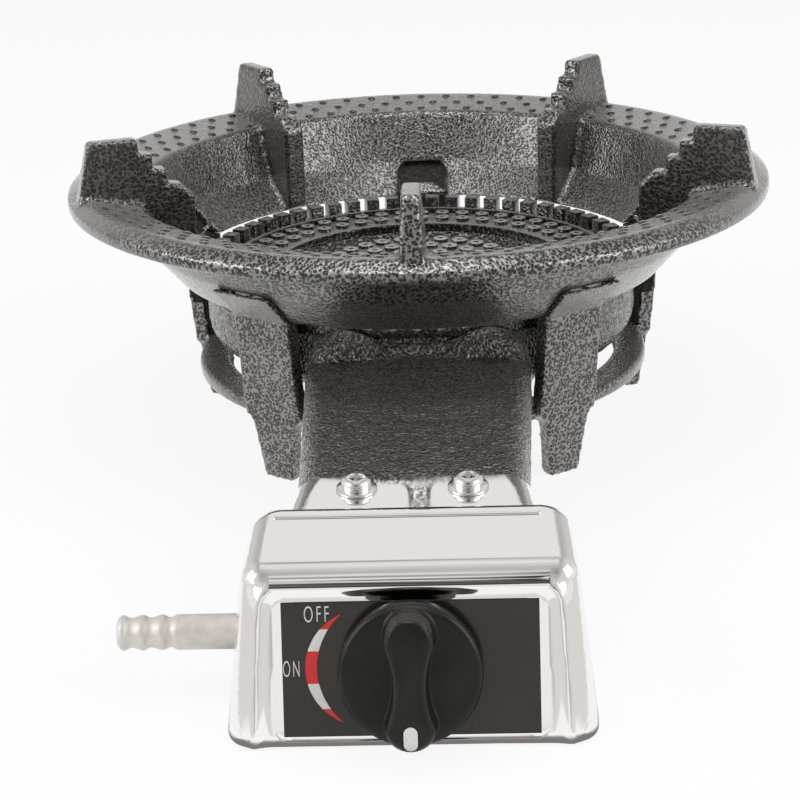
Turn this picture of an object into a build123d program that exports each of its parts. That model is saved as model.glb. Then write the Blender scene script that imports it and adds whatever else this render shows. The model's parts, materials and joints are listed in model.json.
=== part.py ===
from build123d import *
from math import atan2, cos, degrees, hypot, radians, sin, tan
import os

# Single burner gas stove: an iron stove frame on five legs, a burner with a loose port ring and cap,
# and a plated control cover with a gas valve inside. Millimetres, +Z up, the control cover towards -Y.
# Every piece is drawn with the burner's axis at X = Y = 0 and the floor at Z = 0. At the end all of them
# move together along Y, so that the origin is at the bottom centre of the whole stove's box.

# Rim and bowl
rim_radius = 145.0
rim_edge_height = 4.5
ridge_inset = 6.0
ridge_height = 108.0
ridge_fall = 4.2
band_width = 21.0
band_fall = 4.5
bowl_wall = 4.6
bowl_lean = 7.5
bowl_break_height = 81.5
bowl_break_rise = 2.0
bowl_foot_inset = 13.5
bowl_foot_height = 68.7
bowl_foot_width = 5.2
cove_drop = 3.0
rim_round = 1.6

# Pot fingers
finger_count = 5
finger_height = 130.5
finger_top_inset = 8.0
finger_top_length = 20.0
finger_step_count = 3
finger_step_run = 5.4
finger_step_rise = 6.5
finger_heel_inset = 2.0
finger_top_width = 7.0
finger_base_width = 9.4
finger_rib_inset = 1.5
finger_sink = 1.2
finger_round = 1.0

# Legs
leg_foot_radius = 97.5
leg_top_radius = 104.0
leg_depth = 6.5
leg_plate = 3.2
leg_flange = 2.5
leg_proud = 2.6
leg_foot_width = 14.0
leg_ankle_width = 20.5
leg_shoulder_width = 27.2
leg_top_width = 27.6
leg_shoulder_height = 3.0
leg_shoulder_round = 4.0
window_round = 5.0

# Base ring
base_ring_outer = 95.0
base_ring_inner = 82.0
base_ring_bottom = 23.8
base_ring_thick = 5.4
base_ring_round = 1.0

# Burner casting: outer gas trough, inner gas cup, two bridges and the arm with its gas tubes
burner_radius = 90.0
burner_wall = 5.0
burner_floor = 35.0
burner_floor_thick = 8.0
burner_round = 14.0
trough_inner_radius = 62.0
burner_seat = 62.0
cup_radius = 43.5
cup_wall = 4.0
cup_seat = 59.6
bridge_radius = 6.0
bridge_angle = 128.0
bridge_lift = 1.2
duct_lift = 1.2
rear_lug_width = 16.0
rear_lug_depth = 8.0
arm_root = 70.0
arm_end = 247.0
arm_rear_width = 89.0
arm_front_width = 75.6
arm_rear_top = 55.0
arm_bend_top = 53.2
arm_front_top = 48.6
arm_slope_start = 100.0
arm_slope_end = 205.0
arm_top_round = 9.0
arm_under_round = 4.0
hump_left_radius = 15.0
hump_right_radius = 16.0
hump_left_x = -26.5
hump_right_x = 26.5
hump_rise = 10.5
hump_front = 97.0
hump_round = 8.0
tube_bore = 5.4
tube_spread = 18.0
tube_height = 36.5
tube_mouth = 6.8
tube_mouth_depth = 8.0
intake_length = 21.0
intake_half_width = 30.5
intake_roof = 2.3
feed_radius = 3.5
feed_wall = 3.2
feed_end = 25.0
riser_margin = 1.0
bolt_x = 34.0
bolt_y = 81.0
bolt_radius = 3.0
bolt_depth = 11.0
bolt_head_flats = 10.0
bolt_head_height = 4.0

# Outer burner ring
ring_overhang = 1.5
ring_plate = 3.0
ring_crown = 3.8
ring_crown_width = 5.5
ring_slot_count = 60
ring_slot_width = 3.4
ring_skirt = 4.0
ring_skirt_wall = 3.0
ring_play = 0.4
ring_row_counts = (46, 52)
ring_row_inset = 6.5
ring_row_pitch = 8.4
stud_radius = 3.0
stud_height = 1.6
port_radius = 1.0
ring_lift_gap = 1.0

# Inner burner cap
cap_plate = 4.0
cap_skirt = 4.0
cap_skirt_wall = 3.0
cap_play = 0.4
cap_row_step = 9.7
cap_row_counts = (7, 14, 21, 28)
cap_stud_radius = 3.3
cap_stud_height = 1.6
cap_port_radius = 1.1

# Control cover
cover_front = 302.0
cover_back = 247.0
cover_rear_height = 60.6
cover_brow_height = 54.4
cover_lean = 14.62
cover_side_draft = 5.9
cover_side_taper = 1.35
cover_foot_width = 115.6
cover_wall = 2.0
cover_round = 7.6
cover_rear_round = 11.0
tongue_reach = 34.0
tongue_front_width = 90.2
tongue_skirt = 11.0
tongue_wall = 1.4
tongue_play = 0.5
panel_width = 84.0
panel_height = 45.0
panel_depth = 0.8
panel_corner = 4.0
panel_lift = 25.0
stem_hole = 7.0
barb_slot_play = 1.0
cover_screw_x = 18.5
cover_screw_y = 221.0
screw_radius = 2.5
screw_head_radius = 5.0
screw_head_height = 3.6
screw_length = 8.0
washer_radius = 6.8
washer_thick = 1.0
fastener_play = 0.2
drive_width = 1.4
drive_length = 5.2
drive_depth = 1.8
head_round = 0.6

# Dial plate
dial_width = 78.6
dial_height = 41.4
dial_thick = 0.8
dial_hole = 8.0

# Knob, stem and push travel along the panel's normal
knob_radius = 22.0
knob_push = 2.5
knob_gap = 0.3
knob_rim = 6.6
knob_crown_radius = 20.8
knob_crown = 8.0
grip_height = 21.5
grip_top_radius = 7.6
grip_low_radius = 8.0
grip_top_y = 12.8
grip_low_y = 13.0
grip_waist = 5.1
grip_waist_y = -1.5
grip_waist_radius = 30.0
grip_round = 3.0
grip_slope = 4.5
pointer_width = 4.2
pointer_length = 7.4
pointer_inset = 1.0
pointer_depth = 1.6
stem_radius = 4.0
stem_engage = 14.0
clip_radius = 5.0
clip_wall = 0.8
clip_length = 6.0
clip_split = 2.0
running_play = 0.05

# Gas valve, along the same axis behind the panel
bonnet_face = 6.0
bonnet_thick = 3.0
bonnet_radius = 13.5
gasket_thick = 0.5
barrel_radius = 12.6
barrel_length = 27.0
chamber_radius = 9.0
chamber_depth = 7.0
plug_top_radius = 8.4
plug_low_radius = 6.6
plug_length = 15.5
plug_socket = 10.0
plug_port = 2.5
spring_radius = 6.6
spring_wall = 1.4
collar_radius = 6.4
collar_thick = 1.2
seal_section = 1.6
bonnet_screw_radius = 1.5
bonnet_screw_pitch = 10.8
bonnet_screw_length = 9.0
bonnet_screw_head = 2.5
bonnet_screw_head_height = 1.8
gas_bar_depth = 12.0
gas_bar_half_width = 37.5
gas_bar_height = 12.0
neck_half_width = 9.0
neck_depth = 20.0
neck_height = 26.0
valve_screw_x = 33.8
valve_screw_radius = 2.0
valve_screw_length = 22.0
valve_screw_head = 3.6
valve_screw_head_height = 2.6

# Jets and air shutters
jet_hex_flats = 11.0
jet_hex_length = 5.0
jet_thread_radius = 4.0
jet_thread_length = 7.0
jet_shank_radius = 3.5
jet_nose_radius = 2.0
jet_nose_length = 4.0
jet_reach = 1.0
outer_orifice = 0.6
inner_orifice = 0.45
shutter_radius = 9.3
shutter_plate = 1.2
shutter_hub_radius = 5.0
shutter_hub_length = 4.0
shutter_gap = 0.3
shutter_window_inner = 5.4
shutter_window_outer = 8.2
shutter_window_angle = 70.0

# Hose barb
barb_y = 262.0
barb_height = 21.5
barb_tip = 94.5
barb_radius = 5.7
barb_root_radius = 6.1
barb_land = 24.0
barb_bore = 3.0
barb_ridge_count = 3
barb_ridge_pitch = 6.3
barb_groove = 0.9
barb_nose = 1.3
barb_hex_flats = 14.0
barb_hex_length = 6.0
barb_thread_radius = 4.8
barb_thread_length = 9.0
inlet_boss_radius = 8.5
inlet_boss_end = 27.0
inlet_washer_radius = 7.5
inlet_washer_thick = 1.0

# Levels and radii that follow from the sizes above
ridge_radius = rim_radius - ridge_inset
mouth_radius = ridge_radius - band_width
mouth_height = ridge_height - band_fall
edge_top = ridge_height - ridge_fall
rim_under = edge_top - rim_edge_height
break_radius = mouth_radius - bowl_lean
foot_radius = break_radius - bowl_foot_inset
outer_break_radius = break_radius + bowl_wall
outer_break_height = bowl_break_height + bowl_break_rise
base_ring_top = base_ring_bottom + base_ring_thick
ring_outer = burner_radius + ring_overhang
trough_pocket_inner = trough_inner_radius + burner_wall
trough_pocket_outer = burner_radius - burner_wall
pocket_floor = burner_floor + burner_floor_thick
intake_wall = arm_end - intake_length
arm_end_slope = (arm_bend_top - arm_front_top) / (arm_end - arm_slope_end)
tongue_tilt = degrees(atan2(arm_bend_top - arm_front_top, arm_end - arm_slope_end))
tongue_rear = cover_back - tongue_reach
cover_slope = tan(radians(cover_lean))
cover_brow = cover_front - cover_brow_height * cover_slope
cover_fall = (cover_rear_height - cover_brow_height) / (cover_brow - cover_back)
cutter_span = 4
half = Align.CENTER
low = Align.MIN
high = Align.MAX


def radial_face(points):
    """Face from (radius, height) points, standing in the plane of +X and Z."""
    return make_face(Polyline(*[(radius, 0, height) for radius, height in points], close=True))


def turned(points, round_radius=0.0, round_at=()):
    """Solid of revolution about Z, with the numbered corners of its outline rounded."""
    face = radial_face(points)
    for index in round_at:
        radius, height = points[index]
        corner = face.vertices().sort_by_distance((radius, 0, height))[0]
        face = fillet(corner, round_radius)
    return revolve(face, Axis.Z, 360)


def side_slab(points, half_width):
    """Plate from (distance towards -Y, height) points, as wide as given on both sides of X = 0."""
    face = make_face(Polyline(*[(0, -distance, height) for distance, height in points], close=True))
    return extrude(face, half_width, dir=(1, 0, 0), both=True)


def front_slab(points, far):
    """Bar along Y from (x, height) points, mirrored about X = 0, from Y = 0 to -far."""
    outline = points + [(-x, height) for x, height in reversed(points)]
    face = make_face(Polyline(*[(x, 0, height) for x, height in outline], close=True))
    return extrude(face, far, dir=(0, -1, 0))


def around(solid, angles):
    """Copies of a solid turned about the burner's axis, 0 being the front."""
    return [Rot(0, 0, angle) * solid for angle in angles]


def rod(radius, length, bottom=0.0):
    """Upright cylinder that starts at a given height."""
    return Pos(0, 0, bottom) * Cylinder(radius, length, align=(half, half, low))


def tube(outer, inner, length, bottom=0.0):
    """Upright sleeve that starts at a given height."""
    return rod(outer, length, bottom) - rod(inner, length, bottom)


def hexagon(flats, length, bottom=0.0):
    """Upright hexagon bar across its flats."""
    return Pos(0, 0, bottom) * extrude(RegularPolygon(flats / 2, 6, major_radius=False), length)


def pan_screw(radius, length, head_radius, head_height):
    """Pan-head screw with a cross recess, its head's underside at height 0."""
    head = rod(head_radius, head_height)
    head = fillet(head.edges().group_by(Axis.Z)[-1], head_height * head_round)
    share = head_radius / screw_head_radius
    cross = Box(drive_length * share, drive_width * share, drive_depth * share, align=(half, half, high))
    cross = Pos(0, 0, head_height) * (cross + Rot(0, 0, 90) * cross)
    return head - cross + rod(radius, length, -length)


def build_bowl():
    """Rim and bowl: a ridged rim over a coved wall that breaks inwards to its foot."""
    outline = [
        (mouth_radius, mouth_height),
        (ridge_radius, ridge_height),
        (rim_radius, edge_top),
        (rim_radius, rim_under),
        (mouth_radius + bowl_wall, rim_under - cove_drop),
        (outer_break_radius, outer_break_height),
        (foot_radius + bowl_foot_width, bowl_foot_height),
        (foot_radius, bowl_foot_height),
        (break_radius, bowl_break_height),
    ]
    return turned(outline, rim_round, (0, 1, 2, 3))


def leg_pocket():
    """Hollow behind a leg's plate, open towards the burner, with rounded upper corners."""
    plate_top = outer_break_radius + leg_proud - leg_plate
    outline = [
        (leg_foot_radius - leg_plate, base_ring_top),
        (leg_top_radius - leg_plate, bowl_foot_height),
        (plate_top, bowl_break_height),
        (burner_radius, bowl_break_height),
        (burner_radius, base_ring_top),
    ]
    half_low = leg_shoulder_width / 2 - leg_flange
    half_high = leg_top_width / 2 - leg_flange
    outline_front = [(half_low, base_ring_top), (half_high, bowl_break_height)]
    opening = front_slab(outline_front, rim_radius)
    upper = opening.edges().filter_by(Axis.Y).group_by(Axis.Z)[-1]
    return side_slab(outline, leg_top_width) & fillet(upper, window_round)


def build_leg(bowl, ring):
    """One leg: a tapered channel from under the bowl to the floor, cut to meet the bowl and the base ring."""
    outline = [
        (leg_foot_radius, 0),
        (leg_top_radius, bowl_foot_height),
        (outer_break_radius + leg_proud, outer_break_height),
        (break_radius + finger_sink, bowl_break_height),
        (leg_top_radius - leg_depth, bowl_foot_height),
        (leg_foot_radius - leg_depth, 0),
    ]
    shoulder = base_ring_bottom + leg_shoulder_height
    outline_front = [
        (leg_foot_width / 2, 0),
        (leg_ankle_width / 2, base_ring_bottom),
        (leg_shoulder_width / 2, shoulder),
        (leg_top_width / 2, bowl_break_height),
    ]
    front = front_slab(outline_front, rim_radius)
    corners = front.edges().filter_by(Axis.Y).sort_by_distance((0, 0, shoulder))[:2]
    front = fillet(corners, leg_shoulder_round)
    leg = side_slab(outline, leg_top_width) & front
    return leg - leg_pocket() - bowl - ring


def build_finger(bowl):
    """One pot finger: a stepped radial plate, thicker at its foot, that runs down the bowl as a rib."""
    top_outer = rim_radius - finger_top_inset
    outline = [(rim_radius - finger_heel_inset, edge_top), (top_outer, finger_height)]
    radius = top_outer - finger_top_length
    height = finger_height
    outline.append((radius, height))
    for _ in range(finger_step_count):
        outline.append((radius, height - finger_step_rise))
        outline.append((radius - finger_step_run, height - finger_step_rise))
        radius -= finger_step_run
        height -= finger_step_rise
    rib = foot_radius - finger_rib_inset
    outline += [
        (rib, height - (radius - rib)),
        (rib, bowl_foot_height + finger_rib_inset),
        (foot_radius + finger_sink, bowl_foot_height),
        (break_radius + finger_sink, bowl_break_height),
        (mouth_radius + finger_sink, rim_under),
        (rim_radius - finger_heel_inset, rim_under + rim_edge_height / 2),
    ]
    base_half = finger_base_width / 2
    draft = [(base_half, 0), (base_half, edge_top), (finger_top_width / 2, finger_height)]
    plate = side_slab(outline, finger_base_width) & front_slab(draft, rim_radius)
    edges = plate.edges().group_by(Axis.Z)[-1]
    return fillet(edges, finger_round) - bowl


def build_base_ring():
    """Ring that ties the legs together and carries the burner, drilled for the burner bolts."""
    outline = [
        (base_ring_inner, base_ring_bottom),
        (base_ring_outer, base_ring_bottom),
        (base_ring_outer, base_ring_top),
        (base_ring_inner, base_ring_top),
    ]
    ring = turned(outline, base_ring_round, (1, 2))
    hole = rod(bolt_radius + fastener_play, base_ring_thick, base_ring_bottom)
    return ring - [Pos(side * bolt_x, -bolt_y, 0) * hole for side in (-1, 1)]


def build_hump(x, radius):
    """Rounded end of a gas tube where it stands above the arm and enters the burner."""
    length = hump_front - arm_root
    body = Rot(90, 0, 0) * Cylinder(radius, length, align=(half, half, low))
    body = fillet(body.edges().filter_by(GeomType.CIRCLE).group_by(Axis.Y)[0], hump_round)
    return Pos(x, -arm_root, arm_rear_top + hump_rise - radius) * body


def arm_half_width(distance):
    """Half the arm's width at a distance from the burner's axis."""
    share = (distance - arm_root) / (arm_end - arm_root)
    return (arm_rear_width + (arm_front_width - arm_rear_width) * share) / 2


def arm_top(distance):
    """Height of the arm's sloping end at a distance from the burner's axis."""
    return arm_front_top + (arm_end - distance) * arm_end_slope


def arch(distance, side, bottom, top, corner):
    """Upright cross-section at a distance from the burner's axis, its upper corners rounded."""
    corners = [(-side, bottom), (side, bottom), (side, top), (-side, top)]
    face = make_face(Polyline(*[(x, -distance, height) for x, height in corners], close=True))
    return fillet(face.vertices().group_by(Axis.Z)[-1], corner)


def arm_section(distance, top):
    """Rounded cross-section of the arm at a distance from the burner's axis."""
    face = arch(distance, arm_half_width(distance), base_ring_top, top, arm_top_round)
    return fillet(face.vertices().group_by(Axis.Z)[0], arm_under_round)


def build_arm():
    """Flat arm that narrows towards the control cover and slopes down at its end, with rounded long edges."""
    sections = [
        arm_section(arm_root, arm_rear_top),
        arm_section(arm_slope_start, arm_rear_top),
        arm_section(arm_slope_end, arm_bend_top),
        arm_section(arm_end, arm_front_top),
    ]
    return loft(sections, ruled=True)


def screw_place(side):
    """Place of a cover screw on the arm's sloping end, its axis square to the slope."""
    return Pos(side * cover_screw_x, -cover_screw_y, arm_top(cover_screw_y)) * Rot(tongue_tilt, 0, 0)


def build_burner():
    """Burner casting: gas trough, gas cup, bridges, arm, humps, feed duct and rear lug."""
    trough = turned(
        [
            (trough_inner_radius, burner_floor),
            (burner_radius, burner_floor),
            (burner_radius, burner_seat),
            (trough_inner_radius, burner_seat),
        ],
        burner_round,
        (1,),
    )
    cup = rod(cup_radius, cup_seat - burner_floor, burner_floor)
    bridge_length = trough_inner_radius + burner_wall / 2
    bridge = Rot(90, 0, 0) * Cylinder(bridge_radius, bridge_length, align=(half, half, low))
    bridge = Pos(0, 0, burner_floor + bridge_lift + bridge_radius) * bridge
    duct_radius = feed_radius + feed_wall
    duct_height = base_ring_top + duct_lift + duct_radius
    duct = Rot(90, 0, 0) * Cylinder(duct_radius, arm_root, align=(half, half, low))
    duct = Pos(-tube_spread, -feed_end, duct_height) * duct
    riser_height = burner_floor + burner_floor_thick / 2 - base_ring_top
    riser = rod(duct_radius + riser_margin, riser_height, base_ring_top)
    riser = Pos(-tube_spread, -feed_end, 0) * riser
    lug_height = burner_floor + burner_round - base_ring_top
    lug = Box(rear_lug_width, rear_lug_depth, lug_height, align=(half, high, low))
    lug = Pos(0, burner_radius, base_ring_top) * lug
    body = trough + cup + around(bridge, (-bridge_angle, bridge_angle)) + build_arm()
    body += build_hump(hump_left_x, hump_left_radius) + build_hump(hump_right_x, hump_right_radius)
    body += duct + riser + lug

    # Hollows: the trough, the cup, the gas tubes, the intake at the arm's end and the feed to the cup
    trough_hollow = tube(trough_pocket_outer, trough_pocket_inner, ridge_height, pocket_floor)
    cup_hollow = rod(cup_radius - cup_wall, ridge_height, pocket_floor)
    over_seat = rod(ring_outer + ring_lift_gap, ridge_height, burner_seat)
    over_gap = tube(trough_inner_radius, cup_radius, ridge_height, cup_seat)
    body = body - trough_hollow - cup_hollow - over_seat - over_gap
    bore_length = intake_wall - trough_pocket_outer + burner_wall
    bore = Rot(90, 0, 0) * rod(tube_bore, bore_length, intake_wall - bore_length)
    flare = Cone(tube_bore, tube_mouth, tube_mouth_depth, align=(half, half, high))
    flare = Rot(90, 0, 0) * Pos(0, 0, intake_wall) * flare
    for side in (-1, 1):
        body -= Pos(side * tube_spread, 0, tube_height) * (bore + flare)
    rise_height = burner_floor + burner_floor_thick - tube_height
    outer_rise = rod(tube_bore, rise_height, tube_height)
    body -= Pos(tube_spread, -(trough_pocket_outer - tube_bore), 0) * outer_rise
    feed_length = intake_wall - bore_length - feed_end
    feed = Rot(90, 0, 0) * rod(feed_radius, feed_length, feed_end)
    body -= Pos(-tube_spread, 0, duct_height) * feed
    feed_bottom = base_ring_top + feed_wall
    feed_rise = rod(feed_radius + riser_margin, pocket_floor - feed_bottom, feed_bottom)
    body -= Pos(-tube_spread, -feed_end, 0) * feed_rise
    intake_top = arm_front_top - intake_roof
    intake = Box(2 * intake_half_width, intake_length, intake_top, align=(half, low, low))
    body -= Pos(0, -arm_end, 0) * intake

    # Threaded holes for the burner bolts, the cover screws and the valve screws
    for side in (-1, 1):
        body -= Pos(side * bolt_x, -bolt_y, 0) * rod(bolt_radius, bolt_depth, base_ring_top)
        cover_hole = rod(screw_radius, screw_length, tongue_wall + washer_thick - screw_length)
        body -= screw_place(side) * cover_hole
        valve_hole = Rot(-90, 0, 0) * rod(valve_screw_radius, valve_screw_length - gas_bar_depth)
        body -= Pos(side * valve_screw_x, -arm_end, tube_height) * valve_hole
    return body


def studs(radius, count, stud, height, bottom):
    """Ring of round studs."""
    with_turn = [Rot(0, 0, 360 * index / count) * Pos(0, -radius, bottom) for index in range(count)]
    return [place * rod(stud, height) for place in with_turn]


def build_outer_ring():
    """Outer burner ring: a plate with a slotted crown, rows of drilled studs and a locating skirt."""
    top = burner_seat + ring_plate
    plate = turned(
        [
            (trough_inner_radius, burner_seat),
            (ring_outer, burner_seat),
            (ring_outer, top + ring_crown),
            (ring_outer - ring_crown_width, top + ring_crown),
            (ring_outer - ring_crown_width, top),
            (trough_inner_radius, top),
        ]
    )
    skirt_outer = trough_pocket_outer - ring_play
    plate += tube(skirt_outer, skirt_outer - ring_skirt_wall, ring_skirt, burner_seat - ring_skirt)
    slot = Box(ring_slot_width, ring_crown_width * 2, ring_crown, align=(half, half, low))
    slot = Pos(0, -(ring_outer - ring_crown_width / 2), top) * slot
    plate = plate - around(slot, [360 * index / ring_slot_count for index in range(ring_slot_count)])
    bosses = []
    ports = []
    radius = trough_inner_radius + ring_row_inset
    for count in ring_row_counts:
        bosses += studs(radius, count, stud_radius, stud_height, top)
        ports += studs(radius, count, port_radius, ring_plate + stud_height, burner_seat)
        radius += ring_row_pitch
    return plate + bosses - ports


def build_inner_cap():
    """Inner burner cap: a disc with rings of drilled studs and a locating skirt."""
    top = cup_seat + cap_plate
    skirt_outer = cup_radius - cup_wall - cap_play
    disc = rod(cup_radius, cap_plate, cup_seat)
    disc += tube(skirt_outer, skirt_outer - cap_skirt_wall, cap_skirt, cup_seat - cap_skirt)
    bosses = [rod(cap_stud_radius, cap_stud_height, top)]
    ports = []
    for row, count in enumerate(cap_row_counts, start=1):
        radius = row * cap_row_step
        bosses += studs(radius, count, cap_stud_radius, cap_stud_height, top)
        if radius + cap_port_radius < skirt_outer - cap_skirt_wall:
            ports += studs(radius, count, cap_port_radius, cap_plate + cap_stud_height, cup_seat)
        else:
            ports += studs(radius, count, cap_port_radius, cap_stud_height, top)
    return disc + bosses - ports


def build_burner_bolts():
    """Two hexagon bolts that hold the arm down on the base ring from below."""
    head = hexagon(bolt_head_flats, bolt_head_height, base_ring_bottom - bolt_head_height)
    bolt = head + rod(bolt_radius, base_ring_thick + bolt_depth, base_ring_bottom)
    return [Pos(side * bolt_x, -bolt_y, 0) * bolt for side in (-1, 1)]


def panel_place():
    """Plane of the panel's floor: x to the right, y up the slope, z out towards the user."""
    lean = radians(cover_lean)
    back = panel_lift * sin(lean) + panel_depth * cos(lean) - cover_front
    height = panel_lift * cos(lean) - panel_depth * sin(lean)
    return Plane(origin=(0, back, height), x_dir=(1, 0, 0), z_dir=(0, -cos(lean), sin(lean)))


panel = panel_place().location


def cover_top(distance, inset):
    """Height of the cover's sloping top at a distance from the burner's axis, drawn in by an inset."""
    return cover_rear_height - (distance - cover_back) * cover_fall - inset * hypot(1, cover_fall)


def cover_level(inset, height):
    """Four-sided outline of the cover's box at a height, drawn in by an inset."""
    front = cover_front - inset * hypot(1, cover_slope) - height * cover_slope
    back = cover_back + inset
    taper = tan(radians(cover_side_taper))
    foot = cover_foot_width / 2 - inset - height * tan(radians(cover_side_draft))
    front_half = foot - taper * (cover_front - front)
    back_half = foot - taper * (cover_front - back)
    corners = [(-front_half, -front), (front_half, -front), (back_half, -back), (-back_half, -back)]
    return make_face(Polyline(*[(x, y, height) for x, y in corners], close=True))


def cover_block(inset, floor_height):
    """Main box of the cover, leaning back at its front and sloping on top, its lowest edges left sharp."""
    lid = cover_rear_height + cover_round
    block = loft([cover_level(inset, floor_height), cover_level(inset, lid)], ruled=True)
    rear = cover_back - cover_round
    roof = [(rear, cover_top(rear, inset)), (cover_front, cover_top(cover_front, inset))]
    roof += [(cover_front, lid + cover_round), (rear, lid + cover_round)]
    block -= side_slab(roof, cover_foot_width)
    uprights = block.edges().filter_by(lambda edge: abs(edge.center().Z - lid / 2) < cover_round)
    block = fillet(uprights.sort_by(Axis.Y)[-2:], cover_rear_round - inset)
    front = -(cover_back + cover_rear_round + cover_round)
    edges = block.edges().filter_by(lambda edge: edge.center().Z > cover_round)
    edges = edges.filter_by(lambda edge: edge.center().Y < front or edge.center().Z > cover_brow_height)
    return fillet(edges, cover_round - inset)


def tongue_arch(distance, inset, bottom):
    """Cross-section of the tongue, which flares from the arm towards the box, drawn in by an inset."""
    rear_half = arm_half_width(tongue_rear) + tongue_play + tongue_wall
    share = (distance - tongue_rear) / tongue_reach
    side = rear_half + (tongue_front_width / 2 - rear_half) * share - inset
    top = arm_top(distance) + tongue_wall - inset
    return arch(distance, side, bottom, top, arm_top_round + tongue_wall - inset)


def build_cover():
    """Plated control cover: a box open below and a flared tongue that saddles the end of the arm."""
    inside = cover_back + cover_wall
    ends = (tongue_rear, inside)
    saddle = [tongue_arch(distance, 0, arm_top(distance) - tongue_skirt) for distance in ends]
    under = [tongue_arch(distance, tongue_wall, 0) for distance in (tongue_rear, inside + cover_wall)]
    cover = cover_block(0, 0) - cover_block(cover_wall, -cover_wall)
    cover = cover + loft(saddle, ruled=True) - loft(under, ruled=True)
    recess = extrude(RectangleRounded(panel_width, panel_height, panel_corner), cover_wall)
    cover -= panel * recess
    cover -= panel * Cylinder(stem_hole, cover_wall * cutter_span)
    slot_half = barb_root_radius + barb_slot_play
    slot_depth = cover_foot_width / 2
    slot = Box(slot_depth, 2 * slot_half, barb_height, align=(high, half, low))
    slot += Pos(0, 0, barb_height) * Rot(0, -90, 0) * Cylinder(slot_half, slot_depth, align=(half, half, low))
    cover -= Pos(-neck_half_width, -barb_y, 0) * slot
    hole = Cylinder(screw_radius + fastener_play, tongue_skirt)
    for side in (-1, 1):
        cover -= screw_place(side) * hole
    return cover


def build_cover_screws():
    """Two pan-head screws that hold the cover's tongue down on the arm."""
    screw = pan_screw(screw_radius, screw_length, screw_head_radius, screw_head_height)
    return [screw_place(side) * Pos(0, 0, tongue_wall + washer_thick) * screw for side in (-1, 1)]


def build_cover_washers():
    """Two plain washers under the cover screws."""
    washer = tube(washer_radius, screw_radius + fastener_play, washer_thick, tongue_wall)
    return [screw_place(side) * washer for side in (-1, 1)]


def build_dial_plate():
    """Printed plate in the panel's recess, with a hole for the stem."""
    plate = extrude(Rectangle(dial_width, dial_height), dial_thick)
    return panel * (plate - Cylinder(dial_hole, dial_thick * cutter_span))


knob_back = dial_thick + knob_push + knob_gap
grip_top = knob_back + grip_height


def build_grip():
    """Grip bar of the knob: waisted, rounded along its top and sloped at its upper end."""
    ends = Pos(0, grip_top_y, 0) * Circle(grip_top_radius) + Pos(0, -grip_low_y, 0) * Circle(grip_low_radius)
    bar = make_hull(ends.edges())
    for side in (-1, 1):
        bar -= Pos(side * (grip_waist_radius + grip_waist), grip_waist_y, 0) * Circle(grip_waist_radius)
    grip = Pos(0, 0, knob_back) * extrude(bar, grip_height)
    end = -grip_top_y - grip_top_radius
    wedge = [(end, knob_back + knob_crown), (end + grip_slope, grip_top), (end, grip_top)]
    grip -= side_slab(wedge, knob_radius)
    return fillet(grip.edges().group_by(Axis.Z)[-1], grip_round)


def build_pointer():
    """White pointer line let into the grip's lower end, with round ends."""
    low_end = pointer_inset - grip_low_y - grip_low_radius
    line = Pos(0, low_end + pointer_length / 2, 0) * SlotOverall(pointer_length, pointer_width, rotation=90)
    return build_grip() & Pos(0, 0, grip_top - pointer_depth) * extrude(line, pointer_depth)


def build_knob():
    """Knob: a disc with a coned crown and a waisted grip bar, bored for the stem and its clip."""
    disc = rod(knob_radius, knob_rim, knob_back)
    crown_bottom = knob_back + knob_rim
    disc += Pos(0, 0, crown_bottom) * Cone(
        knob_radius, knob_crown_radius, knob_crown - knob_rim, align=(half, half, low)
    )
    knob = disc + build_grip() - build_pointer()
    knob -= rod(stem_radius + running_play, stem_engage, knob_back)
    knob -= rod(clip_radius, clip_length, knob_back)
    return panel * knob


def build_clip():
    """Split spring sleeve in the knob's bore that grips the stem."""
    sleeve = tube(clip_radius, clip_radius - clip_wall, clip_length, knob_back)
    split = Box(clip_split, clip_radius * 2, clip_length * cutter_span)
    return panel * (sleeve - Pos(0, clip_radius, knob_back) * split)


barrel_top = -bonnet_face - bonnet_thick - gasket_thick
plug_top = barrel_top - chamber_depth
spring_length = chamber_depth + gasket_thick - knob_gap - collar_thick - knob_push - knob_gap


def build_stem():
    """Stem from the plug's socket to the knob, with the collar that the plug spring works against."""
    bottom = plug_top - plug_socket + knob_push + knob_gap
    stem = rod(stem_radius, knob_back + stem_engage - knob_gap - bottom, bottom)
    collar_top = -bonnet_face - bonnet_thick - knob_gap
    return panel * (stem + rod(collar_radius, collar_thick, collar_top - collar_thick))


def build_plug():
    """Tapered plug with a gas port across it and a socket for the stem."""
    plug = Pos(0, 0, plug_top) * Cone(
        plug_low_radius, plug_top_radius, plug_length, align=(half, half, high)
    )
    plug -= rod(stem_radius + running_play, plug_socket, plug_top - plug_socket)
    port_level = plug_top - plug_socket - (plug_length - plug_socket) / 2
    plug -= Pos(0, 0, port_level) * Rot(0, 90, 0) * Cylinder(plug_port, plug_top_radius * cutter_span)
    return panel * plug


def build_spring():
    """Spring on top of the plug, as a plain sleeve of its pressed length."""
    return panel * tube(spring_radius, spring_radius - spring_wall, spring_length, plug_top)


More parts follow.
